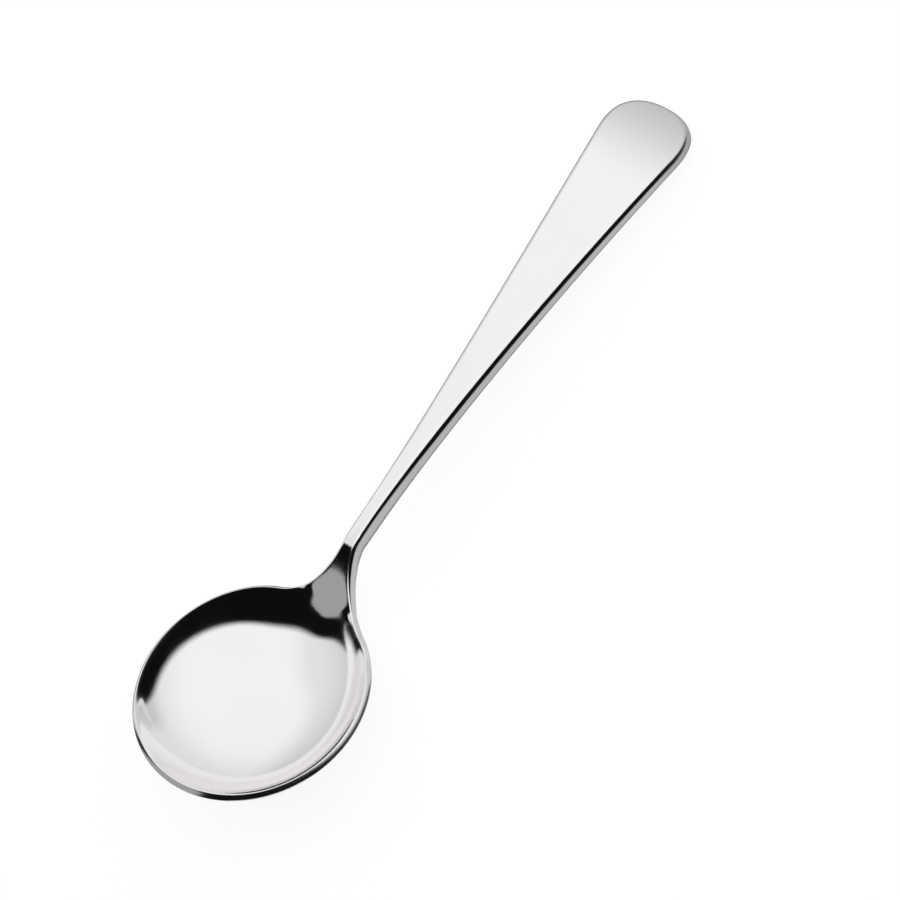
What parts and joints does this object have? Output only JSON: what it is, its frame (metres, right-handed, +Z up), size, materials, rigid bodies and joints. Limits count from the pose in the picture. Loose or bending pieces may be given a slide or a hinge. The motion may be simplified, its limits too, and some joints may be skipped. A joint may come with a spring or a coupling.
{
  "type": "cupping spoon",
  "caption": "Round-bowled cupping spoon in mirror-polished steel, with a slim climbing neck and a flat handle that broadens to a rounded, turned-down end.",
  "frame": {"origin": "on the table, under the middle of the spoon's bounding box, as it lies at rest", "axes": "+X along the spoon from the bowl to the end of the handle, +Z up out of the bowl, +Y across to the left"},
  "size_m": [0.1476, 0.045, 0.0155],
  "materials": {
    "polished_steel": "mirror polished stainless steel"
  },
  "bodies": {
    "root": {"bowl": "polished_steel", "handle": "polished_steel"}
  },
  "joints": []
}
